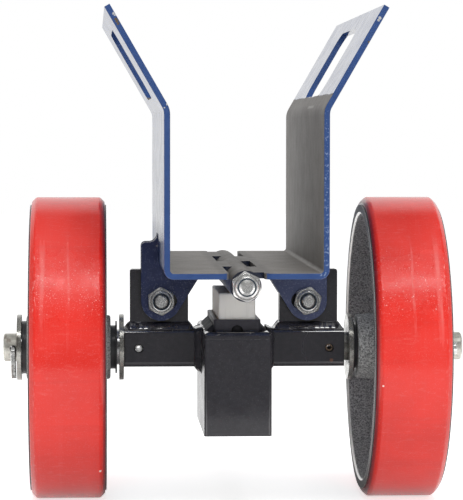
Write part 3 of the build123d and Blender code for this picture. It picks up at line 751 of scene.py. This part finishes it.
def make_piece(name, points, faces, body, material):
    """Closed smooth mesh from points in mm, riding on a body."""
    mesh = mesh_from_mm(name, points, faces)
    work = bmesh.new()
    work.from_mesh(mesh)
    bmesh.ops.recalc_face_normals(work, faces=work.faces)
    work.to_mesh(mesh)
    work.free()
    mesh.polygons.foreach_set("use_smooth", [True] * len(mesh.polygons))
    mesh.materials.append(material)
    piece = bpy.data.objects.new(name, mesh)
    scene.collection.objects.link(piece)
    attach(piece, body)
    return piece


def ring_faces(rings, around, closed):
    """Quads between rings of points, with end caps on an open row."""
    faces = []
    for i in range(rings if closed else rings - 1):
        a = i * around
        b = (i + 1) % rings * around
        for k in range(around):
            m = (k + 1) % around
            faces.append((a + k, a + m, b + m, b + k))
    if not closed:
        faces.append(tuple(range(around)))
        faces.append(tuple(range((rings - 1) * around, rings * around)))
    return faces


def circle(count):
    """Angles of points evenly round a circle."""
    return [2 * math.pi * i / count for i in range(count)]


def bead_run(start, end, foot, face):
    """Steps of a weld along a straight corner: place, foot leg and face leg."""
    start, end = Vector(start), Vector(end)
    count = max(2, round((end - start).length / bead_step))
    return [(start.lerp(end, i / count), Vector(foot), Vector(face)) for i in range(count + 1)]


def bead_turn(corner, first, second, face, centre=None):
    """Steps of a weld round a corner, as its foot leg swings from the first direction to the second."""
    steps = 8
    first, second = Vector(first), Vector(second)
    run = []
    for i in range(1, steps):
        t = i / steps
        foot = (first.normalized() * (1 - t) + second.normalized() * t).normalized()
        foot = foot * (first.length * (1 - t) + second.length * t)
        place = Vector(corner)
        if centre is not None:
            place = Vector(centre) + foot.normalized() * tube_corner
        run.append((place, foot, Vector(face)))
    return run


def weld_bead(name, path, closed, seed, fullness, paint):
    """Rippled fillet weld along a path of places and their two legs; a fullness of 2 is flat, 1 round."""
    size_range = (0.9, 1.08)
    middle_share = 0.45
    ripple_bow = 0.38
    arch_level = 0.6
    end_size = 0.2
    taper_l = 1.6 * bead_pitch
    draw = random.Random(seed)
    middles = [place + middle_share * (foot + face) for place, foot, face in path]
    travel = [0.0]
    for i in range(1, len(path)):
        travel.append(travel[-1] + (middles[i] - middles[i - 1]).length)
    total = travel[-1] + ((middles[0] - middles[-1]).length if closed else 0.0)
    ripples = max(3, round(total / bead_pitch))
    sizes = [draw.uniform(*size_range) for _ in range(ripples)]
    points = []
    for (place, foot, face), along in zip(path, travel):
        points.append(place)
        end = min(1.0, min(along, total - along) / taper_l)
        taper = 1.0 if closed else min(1.0, end_size + (1 - end_size) * math.sin(math.pi / 2 * end))
        for k in range(bead_sides + 1):
            turn = math.pi / 2 * k / bead_sides
            phase = along / total * ripples + ripple_bow * math.sin(2 * turn)
            tooth = phase % 1.0
            size = sizes[int(phase) % ripples]
            after = sizes[(int(phase) + 1) % ripples]
            ease = tooth * tooth * (3 - 2 * tooth)
            level = size + (after - size) * ease
            arch = math.sqrt(max(0.0, 1 - (2 * tooth - 1) ** 2)) - arch_level
            reach = level * (1 + bead_ripple * arch * math.sin(2 * turn)) * taper
            foot_part = foot * math.cos(turn) ** fullness
            points.append(place + (foot_part + face * math.sin(turn) ** fullness) * reach)
    faces = ring_faces(len(path), bead_sides + 2, closed)
    make_piece(name, points, faces, "frame", paint)


def lug_weld(side, sign):
    """Weld round the foot of a pivot lug, sunk a little into the tube."""
    foot_leg, end_leg, rise, sunk = 4.9, 3.7, 5.2, 0.5
    z = axle_z + tube_half - sunk
    up = (0, 0, rise)
    corners = [(lug_in, -lug_side), (lug_out, -lug_side), (lug_out, lug_side), (lug_in, lug_side)]
    legs = [(0, -foot_leg), (end_leg, 0), (0, foot_leg), (-end_leg, 0)]
    corners = [(sign * x, y, z) for x, y in corners]
    legs = [(sign * x, y, 0) for x, y in legs]
    path = []
    for i in range(4):
        after = (i + 1) % 4
        path += bead_run(corners[i], corners[after], legs[i], up)
        path += bead_turn(corners[after], legs[i], legs[after], up)
    weld_bead("lug_weld_" + side, path, closed=True, seed=11 + sign, fullness=1.4, paint=weld_paint)


def rounded_loop(half_x, half_y, radius, z):
    """Points round a rectangle with rounded corners."""
    steps = 8
    points = []
    for quarter, (sx, sy) in enumerate(((1, 1), (-1, 1), (-1, -1), (1, -1))):
        for i in range(steps + 1):
            angle = math.pi / 2 * (quarter + i / steps)
            x = sx * (half_x - radius) + radius * math.cos(angle)
            y = sy * (half_y - radius) + radius * math.sin(angle)
            points.append((x, y, z))
    return points


def guide_collar():
    """Guide collar with soft edges and a half-round recess in front, in place of its solid."""
    bend_steps = 5
    inner_corner = 0.4
    cutter_sides = 48
    cutter_proud = 2.0
    top = cap_top + collar_h
    outer = (collar_side, collar_end, collar_corner)
    inner = (collar_side - collar_wall, collar_end - collar_wall, inner_corner)
    turns = [math.pi / 2 * i / bend_steps for i in range(bend_steps + 1)]
    bend = [(collar_soft * (1 - math.cos(t)), top - collar_soft * (1 - math.sin(t))) for t in turns]
    levels = [(outer, 0.0, cap_top)] + [(outer, -back, z) for back, z in bend]
    levels += [(inner, back, z) for back, z in reversed(bend)] + [(inner, 0.0, cap_top)]
    loops = [rounded_loop(x + grow, y + grow, r + grow, z) for (x, y, r), grow, z in levels]
    points = [loop[i] for i in range(len(loops[0])) for loop in loops]
    faces = ring_faces(len(loops[0]), len(loops), True)
    collar = make_piece("guide_collar", points, faces, "frame", collar_paint)
    ends = (-collar_end - cutter_proud, -collar_end + notch_depth)
    rim = [(notch_r * math.cos(a), cap_top + notch_r * math.sin(a)) for a in circle(cutter_sides)]
    round_bar = [(x, y, z) for y in ends for x, z in rim]
    bar_mesh = mesh_from_mm("recess", round_bar, ring_faces(2, cutter_sides, False))
    cutter = bpy.data.objects.new("recess", bar_mesh)
    scene.collection.objects.link(cutter)
    cut = collar.modifiers.new("recess", "BOOLEAN")
    cut.operation = "DIFFERENCE"
    cut.solver = "EXACT"
    cut.object = cutter
    shaped = collar.evaluated_get(bpy.context.evaluated_depsgraph_get())
    collar.data = bpy.data.meshes.new_from_object(shaped)
    collar.modifiers.clear()
    bpy.data.objects.remove(cutter)
    collar.data.set_sharp_from_angle(angle=math.radians(sharp_angle))
    collar.modifiers.new("flat_walls", "WEIGHTED_NORMAL").keep_sharp = True
    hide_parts("post_collar")


def collar_weld(side, sign):
    """Weld along a side of the guide collar, lapping down over the cap's rounded edge, and a front seam."""
    end = collar_end - 2.5
    foot = (sign * 5.4, 0, -0.9)
    seam_start, seam_end = 4.8, 14.2
    seam_foot, seam_face = (0, -1.3, -0.05), (0, 0, 1.0)
    path = bead_run((sign * collar_side, -end, cap_top), (sign * collar_side, end, cap_top),
                    foot, (0, 0, collar_weld_h[side]))
    weld_bead("collar_weld_" + side, path, closed=False, seed=21 + sign, fullness=1.8, paint=dull_weld_paint)
    path = bead_run((sign * seam_start, -collar_end, cap_top), (sign * seam_end, -collar_end, cap_top),
                    seam_foot, seam_face)
    weld_bead("collar_seam_" + side, path, closed=False, seed=41 + sign, fullness=1.6, paint=weld_paint)


def tube_weld(side, sign):
    """Weld round the axle tube's root, small on top where the cap is near."""
    leg, top_leg, along_leg = 4.3, 1.35, 4.8
    along = (sign * along_leg, 0, 0)
    flat = tube_half - tube_corner
    x = sign * post_side
    legs = [(0, 0, -leg), (0, leg, 0), (0, 0, top_leg), (0, -leg, 0)]
    ends = [((-flat, -tube_half), (flat, -tube_half)), ((tube_half, -flat), (tube_half, flat)),
            ((flat, tube_half), (-flat, tube_half)), ((-tube_half, flat), (-tube_half, -flat))]
    centres = [(flat, -flat), (flat, flat), (-flat, flat), (-flat, -flat)]
    path = []
    for i in range(4):
        start, end, centre = [(x, y, axle_z + z) for y, z in (*ends[i], centres[i])]
        path += bead_run(start, end, legs[i], along)
        path += bead_turn(end, legs[i], legs[(i + 1) % 4], along, centre)
    weld_bead("tube_weld_" + side, path, closed=True, seed=31 + sign, fullness=1.5, paint=weld_paint)


def paint_line():
    """Thin ridge where two coats of paint meet on the right tube's front face."""
    steps, around = 40, 7
    middle_x, bow, waver = 46.2, 3.7, 0.15
    top_z, foot_z = 112.0, 91.2
    half_w, rise, sunk = 0.3, 0.16, 0.02
    points = []
    for i in range(steps + 1):
        t = i / steps
        x = middle_x + bow * (2 * t - 1) ** 2 + waver * math.sin(17 * t)
        z = top_z + (foot_z - top_z) * t
        width = half_w * (0.5 + math.sqrt(t * (1 - t)))
        for k in range(around):
            angle = math.pi * k / (around - 1)
            points.append((x + width * math.cos(angle), -tube_half - rise * math.sin(angle) + sunk, z))
    faces = ring_faces(steps + 1, around, False)
    make_piece("paint_line", points, faces, "frame", seam_paint)


def nut_insert(name, centre, body):
    """Nylon insert showing as a ring in a lock nut's mouth."""
    around = 64
    back, front = 0.5, -0.22
    inner = bolt_r + 0.06
    profile = [(back, inner), (back, insert_r), (front * 0.3, insert_r), (front, insert_r - 0.2),
               (front, inner + 0.25), (front * 0.2, inner)]
    points = []
    for angle in circle(around):
        c, s = math.cos(angle), math.sin(angle)
        for along, radius in profile:
            points.append((centre[0] + radius * c, centre[1] + along, centre[2] + radius * s))
    make_piece(name, points, ring_faces(around, len(profile), True), body, insert_nylon)


def return_coil(end):
    """Return spring with flat ground ends, in place of its solid."""
    turn_steps, around = 48, 12
    node = "return_spring_" + end
    low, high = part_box(node)
    y = (low[1] + high[1]) / 2 / MM
    foot, top = low[2] / MM, high[2] / MM - spring_clear
    wire_r = spring_wire / 2
    coil_r = spring_d / 2 - wire_r
    steps = spring_turns * turn_steps
    points = []
    for i in range(steps + 1):
        turn = 2 * math.pi * i / turn_steps
        rise = foot + wire_r / 2 + (top - foot - wire_r) * i / steps
        for angle in circle(around):
            radius = coil_r + wire_r * math.cos(angle)
            z = min(top, max(foot, rise + wire_r * math.sin(angle)))
            points.append((radius * math.cos(turn), y + radius * math.sin(turn), z))
    faces = ring_faces(steps + 1, around, False)
    coil = make_piece("return_coil_" + end, points, faces, "frame", materials["spring_steel"])
    coil.data.set_sharp_from_angle(angle=math.radians(sharp_angle))
    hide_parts(node)
    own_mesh(coil)


def node_paint(part):
    """Material of one node: its slot's, apart from the ears, the large washers and the axles."""
    node = part["node"]
    if node.startswith("jaw_ear"):
        return ear_paint
    if node.startswith(("inner_washer", "outer_washer")):
        return washer_zinc
    if node in ("axle_left", "axle_right"):
        return axle_steel
    return materials[part["material_slot"]]


make_camera()
make_floor()
make_world()
for lamp in lamps:
    make_lamp(*lamp)

materials = {
    "jaw_paint": jaw_material(),
    "frame_paint": frame_material("frame_paint", shine=0.05, peel=0.02),
    "tyre_red": tyre_material(),
    "cast_iron": core_material(),
    "zinc": zinc_material("zinc", (1.0, 1.0, 1.0)),
    "bearing_steel": bearing_material(),
    "spring_steel": spring_material(),
    "seal_black": rubber_material(),
    "plunger_plastic": nylon_material(),
}
# The weld paint's tone of 1.1 is painted light: a lighter black in place of light its welds don't reflect
weld_paint = frame_material("weld_paint", shine=0.09, peel=0.6, gloss=0.55, tone=1.1,
                            peel_scale=(80, 300, 300))
dull_weld_paint = frame_material("dull_weld_paint", shine=0.42, peel=0.6, gloss=0.03,
                                 peel_scale=(220, 220, 220))
seam_paint = frame_material("seam_paint", shine=0.25, peel=0.05, gloss=0.5, tone=3.0)
# The collar paint's tone of 1.45 is painted light: a lighter black in place of the reflection its low gloss
# gives up
collar_paint = frame_material("collar_paint", shine=0.3, peel=0.1, gloss=0.15, tone=1.45)
washer_zinc = zinc_material("washer_zinc", (0.485, 0.48, 0.455))
axle_steel = zinc_material("axle_steel", (0.84, 0.82, 0.755), dullness=0.2)
insert_nylon = insert_material()
ear_paint = ear_material()
for part in frame["record"]["subparts"]:
    mesh = nodes[part["node"]].data
    mesh.materials.clear()
    mesh.materials.append(node_paint(part))

for side, sign in (("left", -1), ("right", 1)):
    lug_weld(side, sign)
    collar_weld(side, sign)
    tube_weld(side, sign)
    nut_insert("pivot_insert_" + side, (sign * pivot_x, pivot_nut_front, pivot_z), "frame")
guide_collar()
paint_line()
for end in ("front", "rear"):
    return_coil(end)
nut_insert("hinge_insert", (0, hinge_nut_front, hinge_z), "hinge_pin")
